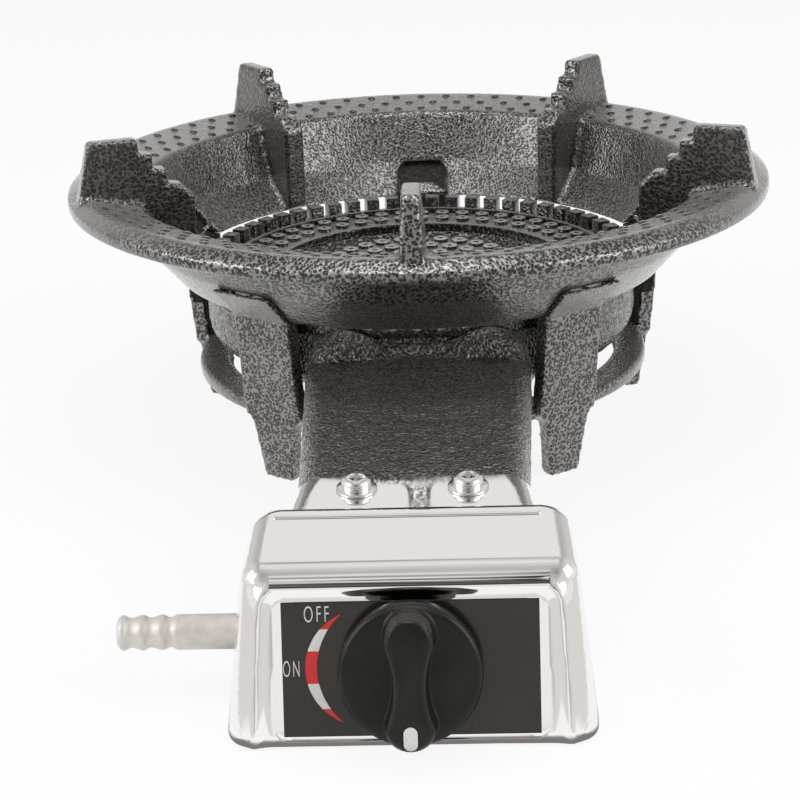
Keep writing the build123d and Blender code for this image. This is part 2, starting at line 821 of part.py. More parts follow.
def build_valve_body():
    """Valve body: barrel on the knob's axis, neck, gas bar across the arm's end and inlet boss."""
    barrel = rod(barrel_radius, barrel_length, barrel_top - barrel_length)
    body = panel * barrel
    bar_bottom = tube_height - gas_bar_height / 2
    bar = Box(2 * gas_bar_half_width, gas_bar_depth, gas_bar_height, align=(half, low, low))
    body += Pos(0, -arm_end - gas_bar_depth, bar_bottom) * bar
    neck = Box(2 * neck_half_width, neck_depth, neck_height, align=(half, low, high))
    body += Pos(0, -arm_end - neck_depth, bar_bottom + gas_bar_height / 2) * neck
    boss = Rot(0, -90, 0) * Cylinder(inlet_boss_radius, inlet_boss_end, align=(half, half, low))
    body += Pos(0, -barb_y, barb_height) * boss
    chamber = rod(chamber_radius, chamber_depth, plug_top)
    seat = Pos(0, 0, plug_top) * Cone(
        plug_low_radius + running_play, plug_top_radius + running_play, plug_length, align=(half, half, high)
    )
    relief = rod(plug_low_radius + running_play, gasket_thick, plug_top - plug_length - gasket_thick)
    body -= panel * (chamber + seat + relief)
    thread = Rot(0, 90, 0) * Cylinder(barb_thread_radius, barb_thread_length, align=(half, half, low))
    body -= Pos(-inlet_boss_end, -barb_y, barb_height) * thread
    jet_hole = Rot(90, 0, 0) * rod(jet_thread_radius, jet_thread_length)
    for side in (-1, 1):
        body -= Pos(side * tube_spread, -arm_end, tube_height) * jet_hole
        screw_hole = Rot(90, 0, 0) * rod(valve_screw_radius + fastener_play, gas_bar_depth)
        body -= Pos(side * valve_screw_x, -arm_end, tube_height) * screw_hole
        small_hole = rod(bonnet_screw_radius, bonnet_screw_length, -bonnet_face - bonnet_screw_length)
        body -= panel * Pos(side * bonnet_screw_pitch, 0, 0) * small_hole
    return body


seal_groove = stem_radius + running_play + seal_section


def build_bonnet():
    """Bonnet plate that closes the valve's chamber and guides the stem."""
    bottom = -bonnet_face - bonnet_thick
    bonnet = tube(bonnet_radius, stem_radius + running_play, bonnet_thick, bottom)
    bonnet -= rod(seal_groove, seal_section, bottom + (bonnet_thick - seal_section) / 2)
    for side in (-1, 1):
        hole = rod(bonnet_screw_radius + fastener_play / 2, bonnet_thick, bottom)
        bonnet -= Pos(side * bonnet_screw_pitch, 0, 0) * hole
    return panel * bonnet


def build_gasket():
    """Flat gasket between the bonnet and the valve's barrel."""
    gasket = tube(barrel_radius, chamber_radius, gasket_thick, barrel_top)
    for side in (-1, 1):
        hole = rod(bonnet_screw_radius + fastener_play / 2, gasket_thick, barrel_top)
        gasket -= Pos(side * bonnet_screw_pitch, 0, 0) * hole
    return panel * gasket


def build_seal():
    """Seal ring in the bonnet's groove, around the stem."""
    bottom = -bonnet_face - bonnet_thick + (bonnet_thick - seal_section) / 2
    return panel * tube(seal_groove, stem_radius + running_play, seal_section, bottom)


def build_bonnet_screws():
    """Two small screws through the bonnet and gasket into the barrel."""
    screw = pan_screw(bonnet_screw_radius, bonnet_screw_length, bonnet_screw_head, bonnet_screw_head_height)
    return [panel * Pos(side * bonnet_screw_pitch, 0, -bonnet_face) * screw for side in (-1, 1)]


def build_valve_screws():
    """Two screws that hold the gas bar against the end of the arm."""
    screw = pan_screw(valve_screw_radius, valve_screw_length, valve_screw_head, valve_screw_head_height)
    screw = Rot(90, 0, 0) * screw
    front = arm_end + gas_bar_depth
    return [Pos(side * valve_screw_x, -front, tube_height) * screw for side in (-1, 1)]


def build_jet(side, orifice):
    """Brass jet screwed into the gas bar, its nose just inside a tube's mouth."""
    length = intake_length + jet_reach
    jet = rod(jet_thread_radius, jet_thread_length, -jet_thread_length)
    jet += hexagon(jet_hex_flats, jet_hex_length)
    jet += rod(jet_shank_radius, length - jet_nose_length)
    jet += Pos(0, 0, length - jet_nose_length) * Cone(
        jet_shank_radius, jet_nose_radius, jet_nose_length, align=(half, half, low)
    )
    jet -= rod(orifice, length + jet_thread_length, -jet_thread_length)
    return Pos(side * tube_spread, -arm_end, tube_height) * Rot(-90, 0, 0) * jet


def build_shutter(side):
    """Air shutter: a plate with two windows on a hub that turns on the jet's shank."""
    plate = rod(shutter_radius, shutter_plate)
    plate += rod(shutter_hub_radius, shutter_hub_length, -shutter_hub_length)
    arc = Circle(shutter_window_outer) - Circle(shutter_window_inner)
    reach = shutter_radius * 2
    spread = radians(shutter_window_angle / 2)
    across = reach * cos(spread)
    aside = reach * sin(spread)
    wedge = Polyline((0, 0), (across, aside), (across, -aside), close=True)
    window = extrude(arc & make_face(wedge), shutter_plate)
    plate -= window + Rot(0, 0, 180) * window
    plate -= Cylinder(jet_shank_radius + running_play, shutter_hub_length * cutter_span)
    place = Pos(side * tube_spread, -intake_wall - shutter_gap - shutter_plate, tube_height)
    return place * Rot(-90, 0, 0) * plate


def build_barb():
    """Hose barb: thread and hexagon at the valve, a plain land and rounded ridges towards its tip."""
    seat = inlet_boss_end + inlet_washer_thick
    length = barb_tip - seat
    ridge_start = length - barb_ridge_count * barb_ridge_pitch
    land_start = ridge_start - barb_land
    outline = [
        (barb_bore, barb_hex_length),
        (barb_root_radius, barb_hex_length),
        (barb_root_radius, land_start),
        (barb_radius, land_start),
        (barb_radius, ridge_start),
    ]
    for index in range(barb_ridge_count):
        foot = ridge_start + index * barb_ridge_pitch
        outline += [
            (barb_radius - barb_groove, foot + barb_nose),
            (barb_radius - barb_groove, foot + 2 * barb_nose),
            (barb_radius, foot + 3 * barb_nose),
            (barb_radius, foot + barb_ridge_pitch - barb_nose),
        ]
    outline += [(barb_radius - barb_nose, length), (barb_bore, length)]
    barb = turned(outline)
    barb += hexagon(barb_hex_flats, barb_hex_length) - rod(barb_bore, barb_hex_length)
    barb += tube(barb_thread_radius, barb_bore, barb_thread_length, -barb_thread_length)
    return Pos(-seat, -barb_y, barb_height) * Rot(0, -90, 0) * barb


def build_inlet_washer():
    """Sealing washer between the hose barb and the valve's inlet boss."""
    washer = tube(inlet_washer_radius, barb_thread_radius, inlet_washer_thick)
    return Pos(-inlet_boss_end, -barb_y, barb_height) * Rot(0, -90, 0) * washer


finger_angles = [360 * index / finger_count for index in range(finger_count)]
leg_angles = [angle + 180 / finger_count for angle in finger_angles]
whole_bowl = build_bowl()
base_ring = build_base_ring()
nodes = {
    "bowl_and_rim": [whole_bowl - around(leg_pocket(), leg_angles)],
    "pot_fingers": around(build_finger(whole_bowl), finger_angles),
    "frame_legs": around(build_leg(whole_bowl - leg_pocket(), base_ring), leg_angles),
    "base_ring": [base_ring],
    "burner_casting": [build_burner()],
    "outer_burner_ring": [build_outer_ring()],
    "inner_burner_cap": [build_inner_cap()],
    "burner_bolts": build_burner_bolts(),
    "control_cover": [build_cover()],
    "cover_screws": build_cover_screws(),
    "cover_washers": build_cover_washers(),
    "dial_plate": [build_dial_plate()],
    "control_knob": [build_knob()],
    "knob_pointer": [panel * build_pointer()],
    "knob_clip": [build_clip()],
    "valve_stem": [build_stem()],
    "valve_plug": [build_plug()],
    "plug_spring": [build_spring()],
    "valve_body": [build_valve_body()],
    "valve_bonnet": [build_bonnet()],
    "bonnet_gasket": [build_gasket()],
    "stem_seal": [build_seal()],
    "bonnet_screws": build_bonnet_screws(),
    "valve_screws": build_valve_screws(),
    "inner_jet": [build_jet(-1, inner_orifice)],
    "outer_jet": [build_jet(1, outer_orifice)],
    "inner_air_shutter": [build_shutter(-1)],
    "outer_air_shutter": [build_shutter(1)],
    "hose_barb": [build_barb()],
    "inlet_washer": [build_inlet_washer()],
}

# Origin at the bottom centre of the whole stove's box: the rim is the rearmost point, the knob the foremost
rear = nodes["bowl_and_rim"][0].bounding_box().max.Y
front = nodes["control_knob"][0].bounding_box().min.Y
centred = Pos(0, -(rear + front) / 2, 0)
print("moved along Y by", -(rear + front) / 2)
os.makedirs("parts", exist_ok=True)
for name, solids in nodes.items():
    placed = [centred * solid for solid in solids]
    export_step(placed[0] if len(placed) == 1 else Compound(children=placed), f"parts/{name}.step")
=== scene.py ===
import json
import math
import bpy
from mathutils import Matrix, Vector


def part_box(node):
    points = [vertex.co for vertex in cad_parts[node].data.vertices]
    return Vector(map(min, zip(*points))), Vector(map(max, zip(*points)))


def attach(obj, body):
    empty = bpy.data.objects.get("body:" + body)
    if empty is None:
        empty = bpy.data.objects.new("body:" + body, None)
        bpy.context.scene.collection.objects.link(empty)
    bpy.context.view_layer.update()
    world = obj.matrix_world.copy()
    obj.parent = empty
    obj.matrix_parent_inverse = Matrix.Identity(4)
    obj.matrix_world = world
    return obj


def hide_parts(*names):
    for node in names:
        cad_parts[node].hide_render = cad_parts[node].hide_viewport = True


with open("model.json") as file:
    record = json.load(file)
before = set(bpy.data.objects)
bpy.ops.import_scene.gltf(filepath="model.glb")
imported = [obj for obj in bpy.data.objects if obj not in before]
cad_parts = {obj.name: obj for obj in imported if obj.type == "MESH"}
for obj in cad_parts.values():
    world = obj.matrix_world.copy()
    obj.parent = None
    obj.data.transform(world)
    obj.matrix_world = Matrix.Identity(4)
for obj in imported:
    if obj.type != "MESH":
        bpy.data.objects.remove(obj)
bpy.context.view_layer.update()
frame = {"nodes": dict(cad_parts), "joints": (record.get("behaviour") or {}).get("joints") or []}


# Stove frame, upper half: rim, bowl and five stepped pot fingers are one sand casting in grey iron,
# so its corners are soft and the fingers run into the bowl without a joint. All of it is coated in
# hammered paint, in which grey metal flakes draw together over a black ground.
ring_low, ring_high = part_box("base_ring")
burner_y = (ring_low.y + ring_high.y) / 2
upper_grain = 0.0013
finger_flank = 0.6
bowl_facing, bowl_paint_top = -0.3, 0.106


def take_up(piece):
    """Makes a piece the only one that the operators act on."""
    bpy.ops.object.select_all(action="DESELECT")
    piece.select_set(True)
    bpy.context.view_layer.objects.active = piece


def copy_of(nodes, name):
    """One mesh from the CAD solids of some nodes, with their loose triangles joined."""
    bpy.ops.object.select_all(action="DESELECT")
    copies = []
    for node in nodes:
        piece = bpy.data.objects.new(name, frame["nodes"][node].data.copy())
        bpy.context.scene.collection.objects.link(piece)
        piece.select_set(True)
        copies.append(piece)
    bpy.context.view_layer.objects.active = copies[0]
    if len(copies) > 1:
        bpy.ops.object.join()
    piece = bpy.context.object
    piece.name = name
    piece.data.materials.clear()
    bpy.ops.object.mode_set(mode="EDIT")
    bpy.ops.mesh.select_all(action="SELECT")
    bpy.ops.mesh.remove_doubles(threshold=1e-6)
    bpy.ops.mesh.customdata_custom_splitnormals_clear()
    bpy.ops.object.mode_set(mode="OBJECT")
    return piece


def applied(piece, kind, **settings):
    """Adds a modifier to a piece and applies it."""
    take_up(piece)
    modifier = piece.modifiers.new(kind.title(), kind)
    for key, value in settings.items():
        setattr(modifier, key, value)
    bpy.ops.object.modifier_apply(modifier=modifier.name)


def skinned(piece, grain, soften):
    """Lays one even skin over a piece and wears its corners soft."""
    applied(piece, "REMESH", mode="VOXEL", voxel_size=grain)
    applied(piece, "SMOOTH", factor=0.5, iterations=soften)
    take_up(piece)
    bpy.ops.object.shade_smooth()


def cast(nodes, name, grain, soften):
    """A sand casting that stands for some nodes, as one piece."""
    piece = copy_of(nodes, name)
    skinned(piece, grain, soften)
    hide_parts(*nodes)
    return piece


def plug_in(tree, plug, value):
    """Gives a node's input a plain value, or a link if the value is another node's socket."""
    if isinstance(value, bpy.types.NodeSocket):
        tree.links.new(value, plug)
    else:
        plug.default_value = value


def add(tree, kind, settings=None, **plugs):
    """Adds a shader node, with its settings, its plain values and its links."""
    made = tree.nodes.new("ShaderNode" + kind)
    for key, value in (settings or {}).items():
        setattr(made, key, value)
    for key, value in plugs.items():
        plug_in(tree, made.inputs[key.replace("_", " ")], value)
    return made


def sum_of(tree, operation, first, second):
    """Adds a Math node on two values or sockets and gives its result."""
    made = add(tree, "Math", {"operation": operation})
    plug_in(tree, made.inputs[0], first)
    plug_in(tree, made.inputs[1], second)
    return made.outputs["Value"]


def eased(tree, value, low, high, to_low=0.0, to_high=1.0):
    """Smooth step of a value between two limits."""
    made = add(tree, "MapRange", {"interpolation_type": "SMOOTHSTEP"}, Value=value,
               From_Min=low, From_Max=high, To_Min=to_low, To_Max=to_high)
    return made.outputs["Result"]


def mixed(tree, share, first, second):
    """Mix of two colours by a share."""
    made = add(tree, "Mix", {"data_type": "RGBA"})
    for index, value in ((0, share), (6, first), (7, second)):
        plug_in(tree, made.inputs[index], value)
    return made.outputs[2]


def finish_named(name):
    """New material: its node tree, its shader and the Object coordinates of what it is on."""
    material = bpy.data.materials.new(name)
    material.use_nodes = True
    tree = material.node_tree
    shader = tree.nodes["Principled BSDF"]
    where = tree.nodes.new("ShaderNodeTexCoord").outputs["Object"]
    return material, tree, shader, where


def noise(tree, where, scale, detail=2.0, roughness=0.5):
    """Noise value at a number of features per metre."""
    made = add(tree, "TexNoise", None, Vector=where, Scale=scale, Detail=detail,
               Roughness=roughness)
    return made.outputs["Fac"]


def hammer_paint_group():
    """Hammered paint: grey flakes that draw together over black, as values for a shader."""
    ground = (0.006, 0.006, 0.0055, 1)
    pull = 0.0011
    sway_share, peel_share = 0.16, 1.6
    paint = bpy.data.node_groups.new("hammer_paint", "ShaderNodeTree")
    sockets = (("Where", "INPUT", "Vector"), ("Flakes", "INPUT", "Float"),
               ("Cover", "INPUT", "Float"), ("Grey", "INPUT", "Color"),
               ("Color", "OUTPUT", "Color"), ("Metal", "OUTPUT", "Float"),
               ("Roughness", "OUTPUT", "Float"), ("Height", "OUTPUT", "Float"))
    for name, side, kind in sockets:
        paint.interface.new_socket(name=name, in_out=side, socket_type="NodeSocket" + kind)
    given = paint.nodes.new("NodeGroupInput").outputs
    made = paint.nodes.new("NodeGroupOutput").inputs
    drift = add(paint, "TexNoise", None, Vector=given["Where"], Scale=700.0, Detail=1.0)
    shift = add(paint, "VectorMath", {"operation": "SUBTRACT"})
    paint.links.new(drift.outputs["Color"], shift.inputs[0])
    shift.inputs[1].default_value = (0.5, 0.5, 0.5)
    pulled = add(paint, "VectorMath", {"operation": "MULTIPLY_ADD"})
    paint.links.new(shift.outputs["Vector"], pulled.inputs[0])
    pulled.inputs[1].default_value = (pull, pull, pull)
    paint.links.new(given["Where"], pulled.inputs[2])
    level = add(paint, "TexVoronoi", {"feature": "SMOOTH_F1"}, Vector=pulled.outputs["Vector"],
                Scale=given["Flakes"], Smoothness=0.15, Randomness=1.0).outputs["Distance"]
    clouds = noise(paint, given["Where"], 60.0)
    fine = noise(paint, given["Where"], 2600.0, 2.0, 0.6)
    peel = noise(paint, given["Where"], 190.0)
    for sway in (clouds, fine):
        sway = sum_of(paint, "MULTIPLY", sum_of(paint, "SUBTRACT", sway, 0.5), sway_share)
        level = sum_of(paint, "ADD", level, sway)
    level = sum_of(paint, "ADD", level, given["Cover"])
    flake = eased(paint, level, 0.4, 0.62)
    height = sum_of(paint, "ADD", level, sum_of(paint, "MULTIPLY", peel, peel_share))
    paint.links.new(mixed(paint, flake, ground, given["Grey"]), made["Color"])
    paint.links.new(eased(paint, flake, 0.0, 1.0, 0.0, 0.9), made["Metal"])
    paint.links.new(eased(paint, flake, 0.0, 1.0, 0.2, 0.36), made["Roughness"])
    paint.links.new(height, made["Height"])
    return paint


hammer_paint = hammer_paint_group()


def painted_iron(name, flakes, cover, grey, relief, sheen=1.0, gloss=0.12):
    """Painted casting's material, with a painted pale sheen where the paint is seen edge on."""
    sheen_grey = (0.15, 0.144, 0.137, 1)
    material, tree, shader, where = finish_named(name)
    paint = tree.nodes.new("ShaderNodeGroup")
    paint.node_tree = hammer_paint
    for key, value in (("Where", where), ("Flakes", flakes), ("Cover", cover), ("Grey", grey)):
        plug_in(tree, paint.inputs[key], value)
    # Painted sheen: faces seen edge on turn pale grey, standing in for the room's reflection at
    # grazing angles.
    facing = add(tree, "LayerWeight", None, Blend=0.5).outputs["Facing"]
    edge_sheen = eased(tree, facing, 0.35, 0.75, 0.0, sheen)
    color = mixed(tree, edge_sheen, paint.outputs["Color"], sheen_grey)
    metal = sum_of(tree, "MULTIPLY", paint.outputs["Metal"], eased(tree, edge_sheen, 0.0, 1.0, 1.0, 0.4))
    bump = add(tree, "Bump", None, Strength=0.9, Distance=relief, Height=paint.outputs["Height"])
    tree.links.new(color, shader.inputs["Base Color"])
    tree.links.new(metal, shader.inputs["Metallic"])
    tree.links.new(paint.outputs["Roughness"], shader.inputs["Roughness"])
    tree.links.new(bump.outputs["Normal"], shader.inputs["Normal"])
    tree.links.new(bump.outputs["Normal"], shader.inputs["Coat Normal"])
    shader.inputs["Coat Weight"].default_value = 1.0
    shader.inputs["Coat Roughness"].default_value = gloss
    shader.inputs["Coat IOR"].default_value = 1.55
    shader.inputs["Specular IOR Level"].default_value = 0.1
    return material


upper_casting = cast(["bowl_and_rim", "pot_fingers"], "upper_casting", upper_grain, 1)
for paint in (painted_iron("frame_paint", 780.0, -0.04, (0.25, 0.239, 0.228, 1), 0.00022),
              painted_iron("finger_shade_paint", 780.0, -0.06, (0.11, 0.105, 0.1, 1), 0.00022),
              painted_iron("bowl_paint", 1000.0, 0.0, (0.2, 0.191, 0.182, 1), 0.0002)):
    upper_casting.data.materials.append(paint)
# The fingers' flanks take the darker finger paint: painted shade, for their dark sides.
for face in upper_casting.data.polygons:
    outward = Vector((face.center.x, face.center.y - burner_y, 0)).normalized()
    flank = abs(face.normal.x * outward.y - face.normal.y * outward.x)
    inside = face.normal.dot(outward) < bowl_facing and face.center.z < bowl_paint_top
    face.material_index = 1 if flank > finger_flank else 2 if inside else 0
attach(upper_casting, "stove")


# Grip bumps: three staggered rows of low domes cast on the rim's sloping band, which keep a wok from
# sliding. They are of the same iron as the rim, and leave room at each pot finger. Their darker paint
# is painted shade, for the shadow on their lower sides.
band_inner, band_outer = 0.118, 0.139
band_inner_height, band_outer_height = 0.1035, 0.108
bump_rows = (0.1225, 0.1288, 0.1351)
bumps_in_row = 72
bump_radius = 0.0019
bump_height = 0.0009
bump_root = 0.3
finger_count, finger_clear = 5, 0.0085


def low_dome(radius, height):
    """One dome, cut from a ball and flattened."""
    bpy.ops.object.select_all(action="DESELECT")
    bpy.ops.mesh.primitive_uv_sphere_add(segments=10, ring_count=8, radius=radius,
                                         location=(0, 0, 0))
    dome = bpy.context.object
    bpy.ops.object.mode_set(mode="EDIT")
    bpy.ops.mesh.select_all(action="SELECT")
    bpy.ops.mesh.bisect(plane_co=(0, 0, -radius * bump_root), plane_no=(0, 0, 1),
                        clear_inner=True, use_fill=True)
    bpy.ops.mesh.select_all(action="SELECT")
    bpy.ops.transform.resize(value=(1, 1, height / radius), center_override=(0, 0, 0))
    bpy.ops.object.mode_set(mode="OBJECT")
    bpy.ops.object.shade_smooth()
    return dome


def set_on_rim(dome, radius, angle):
    """Copy of the dome, leaned with the band and set at an angle round the rim."""
    slope = math.atan2(band_outer_height - band_inner_height, band_outer - band_inner)
    height = band_inner_height + (radius - band_inner) * math.tan(slope)
    made = bpy.data.objects.new("rim_bump", dome.data.copy())
    bpy.context.scene.collection.objects.link(made)
    turn = Matrix.Translation((0, burner_y, 0)) @ Matrix.Rotation(angle, 4, "Z")
    lean = Matrix.Translation((0, -radius, height)) @ Matrix.Rotation(-slope, 4, "X")
    made.data.transform(turn @ lean)
    made.select_set(True)
    return made


dome = low_dome(bump_radius, bump_height)
take_up(dome)
half_sector = math.pi / finger_count
for row, radius in enumerate(bump_rows):
    for index in range(bumps_in_row):
        angle = math.tau * (index + 0.5 * (row % 2)) / bumps_in_row
        off_finger = (angle + half_sector) % (2 * half_sector) - half_sector
        if abs(off_finger) * radius > finger_clear:
            rim_bumps = set_on_rim(dome, radius, angle)
bpy.context.view_layer.objects.active = rim_bumps
dome.select_set(False)
bpy.data.objects.remove(dome)
bpy.ops.object.join()
rim_bumps.name = "rim_bumps"
# Darker paint on the bumps: painted shade, for the shadow on their lower sides.
bump_shade_paint = painted_iron("bump_shade_paint", 680.0, -0.35, (0.1, 0.095, 0.09, 1), 0.0002)
rim_bumps.data.materials.append(bump_shade_paint)
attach(rim_bumps, "stove")


# Stove frame, lower half: five channel legs and the ring that ties them, of the same casting. The
# legs taper to a narrow foot below the ring. Their inner sides, and the rear legs under the bowl, are
# painted shade: a near black material where they lie in shadow.
lower_grain = 0.001
bowl_reach, bowl_under = 0.135, 0.045
shaded_facing, inner_facing = 0.2, -0.35


def varied(tree, where, scale, detail, limits, values):
    """Value that wanders between two values, by a noise eased between two limits."""
    return eased(tree, noise(tree, where, scale, detail), *limits, *values)


def mottled(tree, where, scale, detail, limits, dark, light):
    """Colour that wanders between two tones, by a noise eased between two limits."""
    return mixed(tree, varied(tree, where, scale, detail, limits, (0.0, 1.0)), dark, light)


lower_casting = cast(["frame_legs", "base_ring"], "lower_casting", lower_grain, 1)
leg_paint = painted_iron("leg_paint", 900.0, -0.03, (0.25, 0.239, 0.228, 1), 0.0002)
lower_casting.data.materials.append(leg_paint)
# Near black painted shade for the legs' inner sides and the rear legs under the bowl.
painted_shade, tree, shader, where = finish_named("painted_shade")
color = mottled(tree, where, 600.0, 3.0, (0.35, 0.7), (0.008, 0.008, 0.0075, 1),
                (0.03, 0.028, 0.026, 1))
tree.links.new(color, shader.inputs["Base Color"])
shader.inputs["Roughness"].default_value = 0.6
shader.inputs["Specular IOR Level"].default_value = 0.15
lower_casting.data.materials.append(painted_shade)
# Inward faces, and rear leg faces under the bowl, get the painted shade.
for face in lower_casting.data.polygons:
    outward = Vector((face.center.x, face.center.y - burner_y, 0))
    facing = face.normal.dot(outward.normalized())
    at_rear = outward.y > 0 and facing < shaded_facing
    under_bowl = at_rear and outward.length < bowl_reach and face.center.z > bowl_under
    face.material_index = 1 if under_bowl or facing < inner_facing else 0
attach(lower_casting, "stove")


# Burner: gas trough, gas cup and the flat arm that holds the two gas tubes are one iron casting,
# bolted down on the ring. Its skin is rough from the sand, and its paint is darker and glossier.
burner_grain = 0.0013
sand_size, sand_depth = 0.0038, 0.0008
burner_paint = painted_iron("burner_paint", 820.0, -0.08, (0.17, 0.162, 0.154, 1), 0.0008,
                            sheen=0.15, gloss=0.09)
burner = cast(["burner_casting"], "burner", burner_grain, 2)
sand_skin = bpy.data.textures.new("sand_skin", "CLOUDS")
sand_skin.noise_scale = sand_size
sand_skin.noise_depth = 1
applied(burner, "DISPLACE", texture=sand_skin, texture_coords="LOCAL", strength=sand_depth,
        mid_level=0.5)
burner.data.materials.append(burner_paint)
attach(burner, "stove")


# Burner ring and burner cap: loose iron castings that lie on the trough and the cup and lift out.
# Their drilled studs let the gas out, and the ring's edge is a slotted crown on a low sill. They are
# black, with bare faces on the studs where these were milled level.
port_edge = 0.0004
crown_over_studs, crown_lift = 0.0022, 0.002
milled_depth, level_facing = 0.0006, 0.3
sill_outer, sill_inner, sill_height = 0.0813, 0.0797, 0.0026
sill_drop, sill_sides = 0.004, 144
port_black = painted_iron("port_black", 900.0, -0.2, (0.18, 0.172, 0.165, 1), 0.0002)
stud_bare, tree, shader, where = finish_named("stud_bare")
color = mottled(tree, where, 900.0, 3.0, (0.3, 0.7), (0.3, 0.288, 0.276, 1), (0.56, 0.54, 0.52, 1))
tree.links.new(color, shader.inputs["Base Color"])
tree.links.new(varied(tree, where, 1500.0, 2.0, (0.3, 0.7), (0.28, 0.42)), shader.inputs["Roughness"])
shader.inputs["Metallic"].default_value = 0.7


def edged(node, name, body, width):
    """A node's own shape with its edges rounded off."""
    piece = copy_of([node], name)
    take_up(piece)
    bpy.ops.object.mode_set(mode="EDIT")
    bpy.ops.mesh.select_all(action="SELECT")
    bpy.ops.mesh.dissolve_limited(angle_limit=math.radians(1.0))
    bpy.ops.object.mode_set(mode="OBJECT")
    applied(piece, "BEVEL", width=width, segments=2, limit_method="ANGLE",
            angle_limit=math.radians(30))
    take_up(piece)
    bpy.ops.object.shade_smooth_by_angle(angle=math.radians(35))
    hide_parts(node)
    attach(piece, body)
    return piece


port_ring = edged("outer_burner_ring", "port_ring", "outer_ring", port_edge)
crown_top = max(vertex.co.z for vertex in port_ring.data.vertices)
for vertex in port_ring.data.vertices:
    if vertex.co.z > crown_top - milled_depth:
        vertex.co.z += crown_lift
port_cap = edged("inner_burner_cap", "port_cap", "inner_cap", port_edge)
cap_top = max(vertex.co.z for vertex in port_cap.data.vertices)
for ports, stud_top in ((port_ring, crown_top - crown_over_studs), (port_cap, cap_top)):
    ports.data.materials.append(port_black)
    ports.data.materials.append(stud_bare)
    for face in ports.data.polygons:
        milled = abs(face.center.z - stud_top) < milled_depth and face.normal.z > level_facing
        face.material_index = 1 if milled else 0
bpy.ops.object.select_all(action="DESELECT")
bpy.ops.mesh.primitive_circle_add(vertices=sill_sides, radius=sill_outer, fill_type="NOTHING",
                                  location=(0, burner_y, crown_top - sill_drop))
sill = bpy.context.object
sill.name = "crown_sill"
bpy.ops.object.transform_apply(location=True, rotation=True, scale=True)
bpy.ops.object.mode_set(mode="EDIT")
bpy.ops.mesh.select_all(action="SELECT")
bpy.ops.mesh.extrude_region_move()
shrink = sill_inner / sill_outer
bpy.ops.transform.resize(value=(shrink, shrink, 1), center_override=(0, burner_y, 0))
bpy.ops.mesh.select_all(action="SELECT")
bpy.ops.mesh.extrude_region_move(TRANSFORM_OT_translate={"value": (0, 0, sill_height)})
bpy.ops.mesh.select_all(action="SELECT")
bpy.ops.mesh.normals_make_consistent(inside=False)
bpy.ops.object.mode_set(mode="OBJECT")
sill.data.materials.append(port_black)
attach(sill, "outer_ring")


# Control cover: a pressed box over the valve, polished and bright plated, with a tongue that saddles
# the arm. Its front is rolled proud round the dial's panel, its lower edge curls in on the floor, and
# a narrow bead is pressed across its top. It is open below.
roll_half_width, roll_top, roll_corner = 0.046, 0.0262, 0.008
roll_spread, roll_proud = 0.0028, 0.0016
roll_lean, roll_lean_from = 0.05, 0.022
roll_front = (-0.010, -0.001)
roll_cuts_up = (20.5, 21.5, 22.6, 23.3, 24.0, 24.8, 25.5, 26.2, 27.0, 27.8, 28.8, 30.0)
roll_cuts_across = (42.2, 43.2, 44.2, 45.2, 46.2, 47.2, 48.2, 49.4, 50.8, 52.4)
curl_height, curl_reach = 0.0045, 0.0026
curl_side, curl_front = (0.049, 0.054), (-0.009, -0.003)
curl_cuts = (0.0007, 0.0016, 0.0028, 0.0045)
bead_length, bead_width, bead_height = 0.084, 0.0015, 0.0011
bead_above = (-0.001, -0.1691, 0.2)
cover_crease = math.radians(30)
plating, tree, shader, where = finish_named("bright_plating")
haze = noise(tree, where, 40.0, 3.0)
rub = sum_of(tree, "MULTIPLY", noise(tree, where, 900.0), 0.3)
polish = eased(tree, sum_of(tree, "ADD", haze, rub), 0.4, 0.95, 0.035, 0.09)
ripple = add(tree, "Bump", None, Strength=0.05, Distance=0.001,
             Height=noise(tree, where, 55.0, 1.0))
tree.links.new(polish, shader.inputs["Roughness"])
tree.links.new(ripple.outputs["Normal"], shader.inputs["Normal"])
shader.inputs["Base Color"].default_value = (0.9, 0.89, 0.88, 1)
shader.inputs["Metallic"].default_value = 1.0
knob_joint = next(joint for joint in frame["joints"] if joint["name"] == "knob_turn")
panel_out = -Vector(knob_joint["axis"])
panel_across = Vector((1, 0, 0))
panel_up = panel_out.cross(panel_across)
panel = Matrix((panel_across, panel_up, panel_out)).transposed().to_4x4()
panel.translation = Vector(knob_joint["pos_m"])
from_panel = panel.inverted()


def cut(piece, place, facing):
    """Cuts a piece's faces along a plane."""
    take_up(piece)
    bpy.ops.object.mode_set(mode="EDIT")
    bpy.ops.mesh.select_all(action="SELECT")
    bpy.ops.mesh.bisect(plane_co=place, plane_no=facing)
    bpy.ops.object.mode_set(mode="OBJECT")


def share(value, low, high):
    """Smooth share from 0 to 1 of a value between two limits."""
    part = min(max((value - low) / (high - low), 0.0), 1.0)
    return part * part * (3 - 2 * part)


def roll_at(across, upward):
    """How far the rolled edge round the panel stands out at a place on the front."""
    x = abs(across) - roll_lean * (roll_lean_from - upward) - (roll_half_width - roll_corner)
    y = upward - (roll_top - roll_corner)
    away = math.hypot(x, y) if x > 0 and y > 0 else max(x, y)
    return roll_proud * math.exp(-((away - roll_corner) / roll_spread) ** 2)


